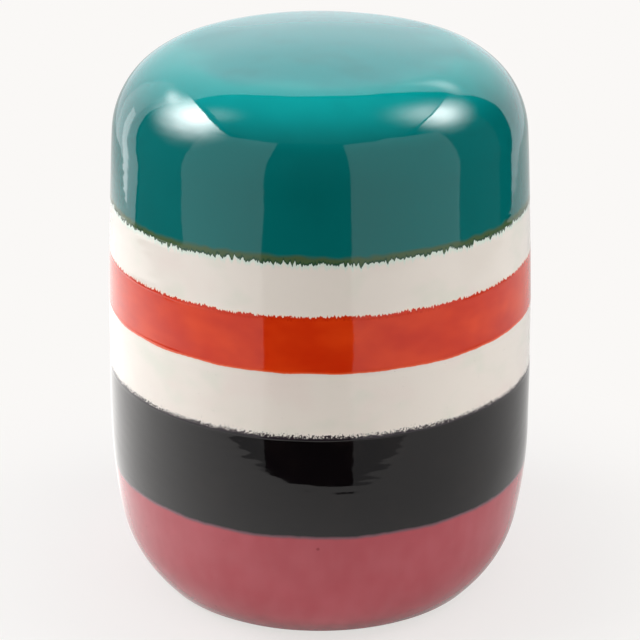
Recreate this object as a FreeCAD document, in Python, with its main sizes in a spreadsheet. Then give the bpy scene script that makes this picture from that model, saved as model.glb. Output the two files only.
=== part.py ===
import FreeCAD, Part

import math
import os

import Sketcher

# Ceramic garden stool: a hollow barrel of fired clay in three luted sections, covered with six
# bands of glaze, on four felt pads. Millimetres, +Z up, origin on the ground under the centre.
#
# The glazed surface is one meridian of five arcs, each tangent to the next, turned about Z:
# a tucked-in foot, the haunch, the slightly bowed wall, the tight shoulder and the crowned seat.
# Every section and every glaze coat is a slice of that meridian between two depths under the
# glazed surface and two heights, so neighbours meet face to face.

DIMENSIONS = {
    # the meridian of the glazed surface
    "overall_height": 460,
    "widest_radius": 174,
    "widest_height": 136,
    "wall_radius": 4000,
    "haunch_radius": 430,
    "foot_radius": 103,
    "foot_centre_height": 77.5,
    "shoulder_radius": 69,
    "crown_radius": 700,
    # thicknesses under that surface: the white coats lie a little lower than the coloured ones
    "glaze_thickness": 1.3,
    "white_setback": 0.3,
    "clay_thickness": 9,
    # heights at which the clay sections are luted together, and the rise of each bevelled joint
    "seat_joint": 368,
    "base_joint": 98,
    "joint_bevel": 6,
    # heights at which one glaze stops and the next starts
    "teal_edge": 332,
    "orange_top": 291,
    "orange_bottom": 245.5,
    "black_top": 192.5,
    "black_bottom": 107,
    "glaze_foot": 5,
    "glaze_edge_round": 0.28,
    # the underside
    "foot_ring_inner_diameter": 218,
    "recess_depth": 5,
    "floor_thickness": 10,
    "vent_diameter": 84,
    "foot_edge_round": 2,
    "recess_round": 2.5,
    "vent_round": 3.5,
    "cavity_corner_round": 12,
    # the felt pads
    "pad_diameter": 20,
    "pad_thickness": 3,
    "pad_circle_radius": 122,
    "pad_count": 4,
    "pad_start_angle": 45,
}

DIMS = "dims"
GLAZED = "0 mm"
WHITE = f"{DIMS}.white_setback * 1 mm"
CLAY = f"{DIMS}.glaze_thickness * 1 mm"
CAVITY = f"({DIMS}.glaze_thickness + {DIMS}.clay_thickness) * 1 mm"
DEPTHS = {
    GLAZED: 0.0,
    WHITE: DIMENSIONS["white_setback"],
    CLAY: DIMENSIONS["glaze_thickness"],
    CAVITY: DIMENSIONS["glaze_thickness"] + DIMENSIONS["clay_thickness"],
}

# Vertices of a sketch's arcs and lines, then its own origin and vertical axis.
START, END, CENTRE = 1, 2, 3
ROOT = -1
VERTICAL_AXIS = -2

# Two edges of the same size or height differ by less than this.
SAME = 0.05

UP = FreeCAD.Vector(0, 0, 1)

doc = FreeCAD.newDocument("garden_stool")


def cell(expression):
    """A sum of dimension names, such as 'seat_joint + joint_bevel', as a bound length."""
    words = [f"{DIMS}.{word}" if word in DIMENSIONS else word for word in expression.split()]
    return f"({' '.join(words)}) * 1 mm"


def length(expression):
    """The value of the same kind of sum."""
    total = 0.0
    sign = 1.0
    for word in expression.split():
        if word in "+-":
            sign = 1.0 if word == "+" else -1.0
        else:
            total += sign * DIMENSIONS[word]
    return total


def make_sheet():
    """The driving dimensions, one named row each."""
    sheet = doc.addObject("Spreadsheet::Sheet", DIMS)
    sheet.Label = DIMS
    for row, (name, value) in enumerate(DIMENSIONS.items(), start=1):
        sheet.set(f"A{row}", name)
        sheet.set(f"B{row}", str(value))
        sheet.setAlias(f"B{row}", name)
    doc.recompute()
    return sheet


# The meridian

ARCS = ["foot", "haunch", "wall", "shoulder", "crown"]


def meridian_circles():
    """Centre (radius from the axis, height) and radius of each arc of the glazed surface."""
    d = DIMENSIONS
    wall = (d["widest_radius"] - d["wall_radius"], d["widest_height"])
    haunch = (d["widest_radius"] - d["haunch_radius"], d["widest_height"])
    crown = (0.0, d["overall_height"] - d["crown_radius"])

    # The foot arc touches the haunch from inside, with its centre at a given height.
    drop = d["widest_height"] - d["foot_centre_height"]
    foot = (
        haunch[0] + math.sqrt((d["haunch_radius"] - d["foot_radius"]) ** 2 - drop ** 2),
        d["foot_centre_height"],
    )

    # The shoulder arc touches the wall and the crown from inside.
    from_wall = d["wall_radius"] - d["shoulder_radius"]
    from_crown = d["crown_radius"] - d["shoulder_radius"]
    step = (crown[0] - wall[0], crown[1] - wall[1])
    apart = math.hypot(*step)
    along = (from_wall ** 2 - from_crown ** 2 + apart ** 2) / (2 * apart)
    across = math.sqrt(from_wall ** 2 - along ** 2)
    unit = (step[0] / apart, step[1] / apart)
    shoulder = (
        wall[0] + unit[0] * along - unit[1] * across,
        wall[1] + unit[1] * along + unit[0] * across,
    )
    centres = [foot, haunch, wall, shoulder, crown]
    return {name: (centre, d[f"{name}_radius"]) for name, centre in zip(ARCS, centres)}


CIRCLES = meridian_circles()


def direction(name_from, name_to):
    """Angle of the line through two arc centres, where the two arcs touch."""
    (x0, z0), _ = CIRCLES[name_from]
    (x1, z1), _ = CIRCLES[name_to]
    return math.atan2(z1 - z0, x1 - x0)


TOUCH = [
    direction("haunch", "foot"),
    0.0,
    direction("wall", "shoulder"),
    direction("crown", "shoulder"),
]


def angle_at(name, depth, height):
    """Angle on an arc, at a depth under the glazed surface, where it passes a height."""
    (_, centre_height), radius = CIRCLES[name]
    return math.asin((height - centre_height) / (radius - depth))


def fix_height(sketch, geometry, vertex, expression):
    """Hold a vertex at a height over the origin."""
    index = sketch.addConstraint(
        Sketcher.Constraint("DistanceY", ROOT, START, geometry, vertex, length(expression))
    )
    sketch.setExpression(f"Constraints[{index}]", cell(expression))


def draw_arc(sketch, centre, radius, low, high, radius_expression):
    """An arc with its radius bound to the sheet."""
    circle = Part.Circle(FreeCAD.Vector(*centre, 0), UP, radius)
    number = sketch.addGeometry(Part.ArcOfCircle(circle, low, high), False)
    index = sketch.addConstraint(Sketcher.Constraint("Radius", number, radius))
    sketch.setExpression(f"Constraints[{index}]", radius_expression)
    return number


def draw_circle(sketch, diameter):
    """A circle about the origin with its diameter bound to the sheet."""
    circle = Part.Circle(FreeCAD.Vector(0, 0, 0), UP, DIMENSIONS[diameter] / 2)
    number = sketch.addGeometry(circle, False)
    sketch.addConstraint(Sketcher.Constraint("Coincident", number, CENTRE, ROOT, START))
    index = sketch.addConstraint(Sketcher.Constraint("Diameter", number, DIMENSIONS[diameter]))
    sketch.setExpression(f"Constraints[{index}]", cell(diameter))


def place_arcs(sketch, numbers):
    """
    Hold the arcs' centres where tangency doesn't.

    The foot, the haunch and the wall are centred at given heights, and the crown on the axis
    under the seat. The wall, or a haunch with no wall above it, is held sideways too.
    """
    heights = {
        "foot": "foot_centre_height",
        "haunch": "widest_height",
        "wall": "widest_height",
    }
    for name, height in heights.items():
        if name in numbers:
            fix_height(sketch, numbers[name], CENTRE, height)
    anchor = "wall" if "wall" in numbers else "haunch"
    beyond_axis = f"{anchor}_radius - widest_radius"
    index = sketch.addConstraint(
        Sketcher.Constraint("DistanceX", numbers[anchor], CENTRE, ROOT, START, length(beyond_axis))
    )
    sketch.setExpression(f"Constraints[{index}]", cell(beyond_axis))
    if "crown" in numbers:
        crown = numbers["crown"]
        below_ground = "crown_radius - overall_height"
        sketch.addConstraint(Sketcher.Constraint("PointOnObject", crown, CENTRE, VERTICAL_AXIS))
        index = sketch.addConstraint(
            Sketcher.Constraint("DistanceY", crown, CENTRE, ROOT, START, length(below_ground))
        )
        sketch.setExpression(f"Constraints[{index}]", cell(below_ground))


def draw_meridian(sketch, arcs, depth, bottom, top, low_round=None, high_round=None):
    """
    Draw part of the meridian as tangent arcs, listed from the lowest up.

    depth is one of the DEPTHS, bottom and top are sums of dimension names, and a top of None
    ends the crown on the axis. low_round and high_round name the radius of a small arc that
    turns that end inwards until it is level. Returns the lowest and the highest end, each as
    an arc's number and a vertex.
    """
    under = DEPTHS[depth]
    low_inset = DIMENSIONS[low_round] if low_round else 0
    high_inset = DIMENSIONS[high_round] if high_round else 0
    numbers = {}
    for place, name in enumerate(arcs, start=ARCS.index(arcs[0])):
        if name == arcs[0]:
            low = angle_at(name, under + low_inset, length(bottom) + low_inset)
        else:
            low = TOUCH[place - 1]
        if name != arcs[-1]:
            high = TOUCH[place]
        elif top is None:
            high = math.pi / 2
        else:
            high = angle_at(name, under + high_inset, length(top) - high_inset)
        centre, radius = CIRCLES[name]
        bound = f"{cell(name + '_radius')} - {depth}"
        numbers[name] = draw_arc(sketch, centre, radius - under, low, high, bound)

    place_arcs(sketch, numbers)
    ordered = list(numbers.values())
    for lower, upper in zip(ordered, ordered[1:]):
        sketch.addConstraint(Sketcher.Constraint("Tangent", lower, END, upper, START))

    first = (ordered[0], START)
    last = (ordered[-1], END)
    if low_round:
        first = turn_inwards(sketch, first, low_round, -math.pi / 2)
    fix_height(sketch, *first, bottom)
    if top is None:
        sketch.addConstraint(Sketcher.Constraint("PointOnObject", *last, VERTICAL_AXIS))
        return first, last
    if high_round:
        last = turn_inwards(sketch, last, high_round, math.pi / 2)
    fix_height(sketch, *last, top)
    return first, last


def turn_inwards(sketch, end, rounding, level):
    """
    Turn an end of the meridian inwards with a small arc, and return the arc's free end.

    level is the angle at which the small arc runs level: straight down or straight up.
    """
    size = DIMENSIONS[rounding]
    point = sketch.getPoint(*end)
    arc = sketch.Geometry[end[0]]
    towards = (arc.Center - point).normalize()
    centre = point + towards * size
    slope = math.atan2(-towards.y, -towards.x)
    low, high = min(slope, level), max(slope, level)
    edge = draw_arc(sketch, (centre.x, centre.y), size, low, high, cell(rounding))
    touching, free = (END, START) if level < 0 else (START, END)
    sketch.addConstraint(Sketcher.Constraint("Tangent", *end, edge, touching))
    # The arc runs level where its centre is straight above or below its end.
    sketch.addConstraint(Sketcher.Constraint("Vertical", edge, CENTRE, edge, free))
    return edge, free


def join(sketch, first, second):
    """Draw a straight line between two ends."""
    points = [sketch.getPoint(*first), sketch.getPoint(*second)]
    line = sketch.addGeometry(Part.LineSegment(*points), False)
    sketch.addConstraint(Sketcher.Constraint("Coincident", *first, line, START))
    sketch.addConstraint(Sketcher.Constraint("Coincident", line, END, *second))
    return line


# Bodies and their features


def make_body(name):
    body = doc.addObject("PartDesign::Body", name)
    body.Label = name
    return body


def sketch_on(body, role, name):
    """A sketch on one of the body's own origin planes."""
    sketch = body.newObject("Sketcher::SketchObject", name)
    plane = next(f for f in body.Origin.OriginFeatures if f.Role == role)
    sketch.AttachmentSupport = (plane, [""])
    sketch.MapMode = "FlatFace"
    return sketch


def turn(body, sketch, name):
    """Revolve a profile once about the stool's axis."""
    turned = body.newObject("PartDesign::Revolution", name)
    turned.Profile = sketch
    turned.ReferenceAxis = (sketch, ["V_Axis"])
    turned.Angle = 360
    sketch.Visibility = False
    doc.recompute()
    return turned


def bore(body, name, diameter, height=None):
    """Cut a round hole upwards from the ground plane, to a height or right through."""
    sketch = sketch_on(body, "XY_Plane", f"{name}_circle")
    draw_circle(sketch, diameter)
    before = body.Shape.Volume
    pocket = body.newObject("PartDesign::Pocket", name)
    pocket.Profile = sketch
    pocket.Reversed = True
    if height is None:
        pocket.Type = "ThroughAll"
    else:
        pocket.Type = "Length"
        pocket.setExpression("Length", cell(height))
    doc.recompute()
    if body.Shape.Volume > before - 1:
        raise RuntimeError(f"{name} cuts nothing")
    return pocket


def rings(feature, diameter, heights):
    """Names of a feature's level circular edges of one diameter, one at each height."""
    found = {}
    for number, edge in enumerate(feature.Shape.Edges, start=1):
        if edge.Degenerated or not isinstance(edge.Curve, Part.Circle):
            continue
        for height in heights:
            same_size = abs(2 * edge.Curve.Radius - DIMENSIONS[diameter]) < SAME
            if same_size and abs(edge.Curve.Center.z - length(height)) < SAME:
                found[height] = f"Edge{number}"
    if len(found) != len(heights):
        raise RuntimeError(f"{diameter}: edges found only at {list(found)}")
    return list(found.values())


def round_edges(body, feature, edges, rounding, name):
    """Round edges of the body's last feature."""
    fillet = body.newObject("PartDesign::Fillet", name)
    fillet.Base = (feature, edges)
    fillet.setExpression("Radius", cell(rounding))
    doc.recompute()
    return fillet


# The clay


def make_seat_dome():
    """The seat, the shoulder and the top of the wall, closed above and open below."""
    body = make_body("seat_dome")
    sketch = sketch_on(body, "XZ_Plane", "seat_dome_profile")
    arcs = ["wall", "shoulder", "crown"]
    outer = draw_meridian(sketch, arcs, CLAY, "seat_joint", None)
    inner = draw_meridian(sketch, arcs, CAVITY, "seat_joint + joint_bevel", None)
    join(sketch, outer[0], inner[0])
    join(sketch, outer[1], inner[1])
    turn(body, sketch, "seat_dome_turned")
    return body


def make_drum_wall():
    """The bowed wall between the two bevelled joints."""
    body = make_body("drum_wall")
    sketch = sketch_on(body, "XZ_Plane", "drum_wall_profile")
    arcs = ["haunch", "wall"]
    outer = draw_meridian(sketch, arcs, CLAY, "base_joint", "seat_joint")
    inner = draw_meridian(
        sketch, arcs, CAVITY, "base_joint + joint_bevel", "seat_joint + joint_bevel"
    )
    join(sketch, outer[0], inner[0])
    join(sketch, outer[1], inner[1])
    turn(body, sketch, "drum_wall_turned")
    return body


def make_base_ring():
    """The haunch and foot, with a floor, a foot ring round a recess, and a vent for the kiln."""
    body = make_body("base_ring")
    sketch = sketch_on(body, "XZ_Plane", "base_ring_profile")
    arcs = ["foot", "haunch"]
    floor_top = "pad_thickness + recess_depth + floor_thickness"
    outer = draw_meridian(
        sketch, arcs, CLAY, "pad_thickness", "base_joint", low_round="foot_edge_round"
    )
    inner = draw_meridian(
        sketch, arcs, CAVITY, floor_top, "base_joint + joint_bevel",
        low_round="cavity_corner_round",
    )
    join(sketch, outer[1], inner[1])

    # The floor runs to the axis here, and the vent is cut from it afterwards.
    axis = sketch.addGeometry(
        Part.LineSegment(
            FreeCAD.Vector(0, length("pad_thickness"), 0),
            FreeCAD.Vector(0, length(floor_top), 0),
        ),
        False,
    )
    sketch.addConstraint(Sketcher.Constraint("PointOnObject", axis, START, VERTICAL_AXIS))
    sketch.addConstraint(Sketcher.Constraint("PointOnObject", axis, END, VERTICAL_AXIS))
    underside = join(sketch, outer[0], (axis, START))
    floor = join(sketch, inner[0], (axis, END))
    sketch.addConstraint(Sketcher.Constraint("Horizontal", underside))
    sketch.addConstraint(Sketcher.Constraint("Horizontal", floor))
    turn(body, sketch, "base_ring_turned")

    recess_top = "pad_thickness + recess_depth"
    bore(body, "recess", "foot_ring_inner_diameter", recess_top)
    last = bore(body, "vent", "vent_diameter")

    edges = rings(last, "foot_ring_inner_diameter", ["pad_thickness"])
    last = round_edges(body, last, edges, "foot_edge_round", "foot_inner_edge")
    edges = rings(last, "foot_ring_inner_diameter", [recess_top])
    last = round_edges(body, last, edges, "recess_round", "recess_corner")
    edges = rings(last, "vent_diameter", [recess_top, floor_top])
    round_edges(body, last, edges, "vent_round", "vent_lip")
    return body


# The glaze


def make_coat(name, arcs, surface, bottom, top, low_round=None, high_round=None):
    """One band of glaze, from the clay out to its surface, cut level at both heights."""
    body = make_body(name)
    sketch = sketch_on(body, "XZ_Plane", f"{name}_profile")
    outer = draw_meridian(sketch, arcs, surface, bottom, top, low_round, high_round)
    inner = draw_meridian(sketch, arcs, CLAY, bottom, top)
    join(sketch, outer[0], inner[0])
    join(sketch, outer[1], inner[1])
    turn(body, sketch, f"{name}_turned")
    return body


def make_coats():
    """The six coats from the seat down. A coloured edge stands a little over the white."""
    edge = "glaze_edge_round"
    seat = ["wall", "shoulder", "crown"]
    return [
        make_coat("teal_glaze", seat, GLAZED, "teal_edge", None, low_round=edge),
        make_coat("upper_white_glaze", ["wall"], WHITE, "orange_top", "teal_edge"),
        make_coat("orange_glaze", ["wall"], GLAZED, "orange_bottom", "orange_top", edge, edge),
        make_coat("lower_white_glaze", ["wall"], WHITE, "black_top", "orange_bottom"),
        make_coat("black_glaze", ["haunch", "wall"], GLAZED, "black_bottom", "black_top",
                  high_round=edge),
        make_coat("rose_glaze", ["foot", "haunch"], GLAZED, "glaze_foot", "black_bottom",
                  low_round=edge),
    ]


# The felt pads


def make_pad(number):
    """One round pad, cut from sheet felt and stuck under the foot ring."""
    name = f"floor_pad_{number + 1}"
    body = make_body(name)
    sketch = sketch_on(body, "XY_Plane", f"{name}_circle")
    draw_circle(sketch, "pad_diameter")
    disc = body.newObject("PartDesign::Pad", f"{name}_disc")
    disc.Profile = sketch
    disc.setExpression("Length", cell("pad_thickness"))

    turned_by = f"({DIMS}.pad_start_angle + {number} * 360 / {DIMS}.pad_count) * 1 deg"
    body.setExpression("Placement.Base.x", f"{cell('pad_circle_radius')} * cos({turned_by})")
    body.setExpression("Placement.Base.y", f"{cell('pad_circle_radius')} * sin({turned_by})")
    return body


def check_and_export(bodies):
    """Stop on any failed feature or bad solid, then write one file per body."""
    doc.recompute()
    failed = [o.Name for o in doc.Objects if "Invalid" in o.State or "Error" in o.State]
    if failed:
        raise RuntimeError(f"failed objects: {failed}")
    for body in bodies:
        if body.Shape.isNull() or not body.Shape.isValid() or len(body.Shape.Solids) != 1:
            raise RuntimeError(f"{body.Label} isn't one valid solid")
    os.makedirs("parts", exist_ok=True)
    for body in bodies:
        body.Shape.exportStep(f"parts/{body.Label}.step")
        box = body.Shape.optimalBoundingBox(False)
        print(
            f"{body.Label}: {body.Shape.Volume / 1000:.1f} cm3, "
            f"{box.XLength:.1f} mm across, from {box.ZMin:.1f} to {box.ZMax:.1f} mm high"
        )


make_sheet()
stool = [make_seat_dome(), make_drum_wall(), make_base_ring()]
stool += make_coats()
stool += [make_pad(number) for number in range(DIMENSIONS["pad_count"])]
check_and_export(stool)
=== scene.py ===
# %% [markdown]
# # A glazed garden stool
# A ceramic garden stool is a hollow barrel of fired clay. Its sections are turned, luted together
# while damp, covered with bands of coloured glaze and fired until the glaze melts to glass. The
# construction model already holds every section, coat and pad at its real size. This lesson
# dresses it: it turns each coat again as a fine, slightly uneven skin, and makes glass, bare clay
# and felt from nodes.

# %% Load the construction model
import math

import bpy
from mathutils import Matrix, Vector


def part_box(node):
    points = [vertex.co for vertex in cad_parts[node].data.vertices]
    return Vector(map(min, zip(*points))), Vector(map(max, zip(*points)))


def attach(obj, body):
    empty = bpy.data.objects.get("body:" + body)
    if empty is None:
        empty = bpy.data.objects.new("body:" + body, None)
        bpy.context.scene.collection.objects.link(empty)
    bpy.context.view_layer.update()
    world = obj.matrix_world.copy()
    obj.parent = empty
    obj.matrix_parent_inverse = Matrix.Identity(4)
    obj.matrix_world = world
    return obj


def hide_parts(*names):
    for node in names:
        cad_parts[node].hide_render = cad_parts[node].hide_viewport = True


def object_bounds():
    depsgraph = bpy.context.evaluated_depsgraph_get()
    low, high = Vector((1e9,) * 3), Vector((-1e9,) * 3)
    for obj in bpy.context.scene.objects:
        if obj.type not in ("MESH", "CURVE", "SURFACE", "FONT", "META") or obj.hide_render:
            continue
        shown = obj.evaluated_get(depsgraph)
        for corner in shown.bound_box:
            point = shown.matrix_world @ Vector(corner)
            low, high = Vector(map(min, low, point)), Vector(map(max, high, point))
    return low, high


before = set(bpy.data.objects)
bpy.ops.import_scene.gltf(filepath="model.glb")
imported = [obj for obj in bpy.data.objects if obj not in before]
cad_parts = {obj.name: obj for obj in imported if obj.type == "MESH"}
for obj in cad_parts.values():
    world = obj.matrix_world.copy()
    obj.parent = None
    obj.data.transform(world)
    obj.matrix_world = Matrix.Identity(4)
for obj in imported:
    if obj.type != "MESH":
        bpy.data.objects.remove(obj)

cad_low, cad_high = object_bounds()
print("nodes:", ", ".join(sorted(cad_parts)))
print("overall size (m):", [round(b - a, 4) for a, b in zip(cad_low, cad_high)])

# %% [markdown]
# ## The camera
# The stool was photographed from a little above with a long lens, so its sides hardly converge.
# The camera stands straight in front, looks down, and has no shift. Its place comes from matching
# the stool's outline and the five lines where one glaze stops and the next starts.

# %% Set up the camera
CAMERA_DISTANCE = 1.8552
CAMERA_HEIGHT = 0.9836
CAMERA_PITCH = math.radians(22.4)
LENS_MM = 136.71
SENSOR_MM = 36.0


def set_up_camera():
    """A long lens straight in front of the stool, looking down at it."""
    data = bpy.data.cameras.new("camera")
    data.sensor_width = SENSOR_MM
    data.lens = LENS_MM
    camera = bpy.data.objects.new("camera", data)
    bpy.context.scene.collection.objects.link(camera)
    camera.location = (0, -CAMERA_DISTANCE, CAMERA_HEIGHT)
    camera.rotation_euler = (math.pi / 2 - CAMERA_PITCH, 0, 0)
    bpy.context.scene.camera = camera
    bpy.context.scene.view_settings.view_transform = "Standard"


set_up_camera()
print(f"camera {CAMERA_DISTANCE:.2f} m in front and {CAMERA_HEIGHT:.2f} m up")

# %% [markdown]
# ## Nodes written as sums
# The colour of a glaze is worked out from a height on the pot and some noise. That is easier to
# read as a sum than as a tangle of wires, so `Wire` wraps a socket, and each arithmetic sign on
# it adds a Math node. `Tree` holds one node tree, and its `node` method adds any other node.


# %% A socket that can be reckoned with
class Wire:
    """An output socket. Arithmetic on it adds Math nodes to its tree."""

    def __init__(self, tree, socket):
        self.tree = tree
        self.socket = socket

    def reckon(self, operation, *values):
        made = self.tree.nodes.new("ShaderNodeMath")
        made.operation = operation
        plug_in(self.tree, zip(made.inputs, values))
        return Wire(self.tree, made.outputs[0])

    def __add__(self, other):
        return self.reckon("ADD", self, other)

    def __radd__(self, other):
        return self.reckon("ADD", other, self)

    def __sub__(self, other):
        return self.reckon("SUBTRACT", self, other)

    def __rsub__(self, other):
        return self.reckon("SUBTRACT", other, self)

    def __mul__(self, other):
        return self.reckon("MULTIPLY", self, other)

    def __rmul__(self, other):
        return self.reckon("MULTIPLY", other, self)

    def most(self, other):
        return self.reckon("MAXIMUM", self, other)


def plug_in(tree, pairs):
    """Link each socket to its wire, or set it to its value."""
    for slot, value in pairs:
        if isinstance(value, Wire):
            tree.links.new(value.socket, slot)
        else:
            slot.default_value = value


# %% A tree of nodes
class Tree:
    """A node tree that grows by one method."""

    def __init__(self, tree):
        self.tree = tree
        tree.nodes.clear()

    def node(self, kind, settings, sockets, output=0):
        """Add a node: first its settings, then the values or links of its sockets."""
        made = self.tree.nodes.new(kind)
        for name, value in settings.items():
            setattr(made, name, value)
        plug_in(self.tree, [(made.inputs[name], value) for name, value in sockets.items()])
        return Wire(self.tree, made.outputs[output]) if made.outputs else made

    def mix(self, mask, under, over):
        """The first colour where the mask is 0 and the second where it is 1."""
        return self.node("ShaderNodeMix", {"data_type": "RGBA"}, {0: mask, 6: under, 7: over}, 2)

    def step(self, value, start, end):
        """0 below the start, 1 above the end, and a soft S between."""
        sockets = {"Value": value, "From Min": start, "From Max": end}
        return self.node("ShaderNodeMapRange", {"interpolation_type": "SMOOTHSTEP"}, sockets)


def new_material(name):
    """A material whose look is made of nodes."""
    material = bpy.data.materials.new(name)
    material.use_nodes = True
    return material


def colour(red, green, blue):
    """A colour as a screen shows it, 0 to 255, turned into linear light."""
    parts = [part / 255 for part in (red, green, blue)]
    linear = [p / 12.92 if p <= 0.04045 else ((p + 0.055) / 1.055) ** 2.4 for p in parts]
    return (*linear, 1.0)


# %% [markdown]
# ## The studio
# Glass is seen by what it mirrors, so the room matters as much as the glaze. A white backdrop
# hangs behind the stool. The camera's side of the room is dark, with a tall softly lit panel on
# either hand, and a flash is thrown at the wall to the left and to the right. The stool stands
# near the front edge of a pale table. In the gloss the dark gap between the panels shows as a
# deep band down the middle, and the flashes as two white spots on the shoulder.

# %% Hang the backdrop
PALE = colour(250, 248, 246)
COOL = (0.90, 0.955, 1.01, 1)
MIRRORED = (1.14, 1.14, 1.17, 1)


def hang_backdrop():
    """Plain pale for the camera, a little cooler as light, and brighter in the gloss."""
    world = bpy.data.worlds.new("backdrop")
    world.use_nodes = True
    bpy.context.scene.world = world
    tree = Tree(world.node_tree)
    seen = tree.node("ShaderNodeLightPath", {}, {}, "Is Camera Ray")
    glossy = tree.node("ShaderNodeLightPath", {}, {}, "Is Glossy Ray")
    tint = tree.mix(seen, tree.mix(glossy, COOL, MIRRORED), PALE)
    shine = tree.node("ShaderNodeBackground", {}, {"Color": tint})
    tree.node("ShaderNodeOutputWorld", {}, {"Surface": shine})


hang_backdrop()
print("backdrop hung")

# %% [markdown]
# ## Working in edit mode
# Everything below is modelled as by hand: a primitive is added, opened in edit mode, and its
# vertices or faces are picked by where they lie. Operators act on all that is selected,
# so these helpers first clear whatever is.

# %% Helpers for edit mode


def add_primitive(name, add, **settings):
    """Add one primitive with nothing else selected, and name it."""
    bpy.ops.object.select_all(action="DESELECT")
    add(**settings)
    made = bpy.context.active_object
    made.name = name
    made.data.name = name
    return made


def pick(target, kind, test):
    """In edit mode, select the vertices or the faces whose middle passes a test."""
    bpy.ops.mesh.select_mode(type=kind)
    bpy.ops.mesh.select_all(action="DESELECT")
    bpy.ops.object.mode_set(mode="OBJECT")
    if kind == "VERT":
        for vertex in target.data.vertices:
            vertex.select = test(vertex.co)
    else:
        for face in target.data.polygons:
            face.select = test(face.center)
    bpy.ops.object.mode_set(mode="EDIT")


# %% [markdown]
# ## The room
# The camera's side of the room is a black shell whose back wall is missing, and the backdrop
# shines in there. Grey flats stand just inside it to the left, to the right and overhead, and the
# light that they scatter fills the shadows. The narrow gaps between them stay black, and in the
# glaze they draw the fine dark lines round the shoulder.

# %% Build the room
ROOM_HALF = 3.2
CEILING = 4.1
LEFT, RIGHT = -1, 1
CEILING_BACK = {LEFT: 1.98, RIGHT: 2.80}
WALL_BACK = {LEFT: 1.22, RIGHT: 1.82}
FLAT_LIGHT = 0.40
FLAT_SHINE = 0.07
# Each flat's low corner, high corner, and how far its back edge leans away towards its top.
FLATS = {
    "left_flat": ((-3.10, -0.77, -3.0), (-3.08, 1.06, 3.94), 0.68),
    "right_flat": ((3.08, -0.77, -3.0), (3.10, 1.17, 3.94), 0.0),
    "ceiling_flat": ((-3.0, -3.15, 4.00), (3.0, 1.95, 4.02), 0.0),
}
NEAR = 0.01


def black_cloth():
    """A matt black that gives no light back."""
    material = new_material("black_cloth")
    tree = Tree(material.node_tree)
    matt = tree.node("ShaderNodeBsdfDiffuse", {}, {"Color": (0, 0, 0, 1)})
    tree.node("ShaderNodeOutputMaterial", {}, {"Surface": matt})
    return material


def lit_grey():
    """A grey board, darker in the gloss than in the light that it scatters."""
    material = new_material("lit_grey")
    tree = Tree(material.node_tree)
    mirrored = tree.node("ShaderNodeLightPath", {}, {}, "Is Glossy Ray")
    light = FLAT_LIGHT + mirrored * (FLAT_SHINE - FLAT_LIGHT)
    glow = tree.node("ShaderNodeEmission", {}, {"Color": PALE, "Strength": light})
    tree.node("ShaderNodeOutputMaterial", {}, {"Surface": glow})
    return material


def build_shell():
    """A cube without its back face, whose back corners are moved to where the walls end."""
    shell = add_primitive("dark_shell", bpy.ops.mesh.primitive_cube_add, size=2 * ROOM_HALF)
    bpy.ops.object.mode_set(mode="EDIT")
    pick(shell, "FACE", lambda p: p.y > ROOM_HALF - NEAR)
    bpy.ops.mesh.delete(type="ONLY_FACE")
    pick(shell, "VERT", lambda p: p.z > 0)
    bpy.ops.transform.translate(value=(0, 0, CEILING - ROOM_HALF))
    for side in (LEFT, RIGHT):
        for up, back in ((-1, WALL_BACK[side]), (1, CEILING_BACK[side])):
            pick(shell, "VERT", lambda p: p.y > 0 and p.x * side > 0 and p.z * up > 0)
            bpy.ops.transform.translate(value=(0, back - ROOM_HALF, 0))
    bpy.ops.object.mode_set(mode="OBJECT")
    shell.data.materials.append(black_cloth())
    shell.visible_camera = False


def hang_flat(name, low, high, lean, finish):
    """A thin board between two corners, whose back edge leans away towards its top."""
    flat = add_primitive(name, bpy.ops.mesh.primitive_cube_add, size=1)
    bpy.ops.object.mode_set(mode="EDIT")
    bpy.ops.mesh.select_all(action="SELECT")
    bpy.ops.transform.resize(value=[b - a for a, b in zip(low, high)])
    bpy.ops.transform.translate(value=[(a + b) / 2 for a, b in zip(low, high)])
    pick(flat, "VERT", lambda p: p.y > high[1] - NEAR and p.z > high[2] - NEAR)
    bpy.ops.transform.translate(value=(0, lean, 0))
    bpy.ops.object.mode_set(mode="OBJECT")
    flat.data.materials.append(finish)
    flat.visible_camera = False


build_shell()
grey = lit_grey()
for name, (low, high, lean) in FLATS.items():
    hang_flat(name, low, high, lean, grey)
print("room", 2 * ROOM_HALF, "m wide, flats at brightness", FLAT_LIGHT)

# %% [markdown]
# ## Lamps
# An area lamp gives light by its power spread over its area, so the helper takes the brightness
# that its face should have, where 1 is white, and works the power out. A flash thrown at a wall
# makes a spot that is hot in the middle and fades outwards. The lamp's own nodes do that here:
# `Parametric` runs from 0 to 1 across the lamp, and the distance from the spot's middle sets the
# strength. Lamps never show to the camera, but the gloss mirrors them at their true shape. What
# the gloss mirrors and what lights the stool are mostly set apart, so that each can be matched
# alone: spots and rim strips give no scattered light, and the three soft lamps aren't mirrored.

# %% Ways to hang a lamp
POWER_PER_BRIGHTNESS = math.pi
SHOULDER = (0, -0.05, 0.43)


def hang_lamp(name, middle, target, width, height, brightness, spot=None):
    """An area lamp. A spot is (across, up, reach across, reach up), in shares of the lamp."""
    data = bpy.data.lights.new(name, "AREA")
    data.shape = "RECTANGLE"
    data.size = width
    data.size_y = height
    data.energy = brightness * width * height * POWER_PER_BRIGHTNESS
    lamp = bpy.data.objects.new(name, data)
    bpy.context.scene.collection.objects.link(lamp)
    lamp.location = middle
    towards = [b - a for a, b in zip(middle, target)]
    turn = math.atan2(towards[0], -towards[1])
    lean = math.atan2(math.hypot(towards[0], towards[1]), -towards[2])
    lamp.rotation_euler = (lean, 0, turn + math.pi)
    lamp.visible_camera = False
    if spot:
        fade_lamp(data, spot)
    return lamp


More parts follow.
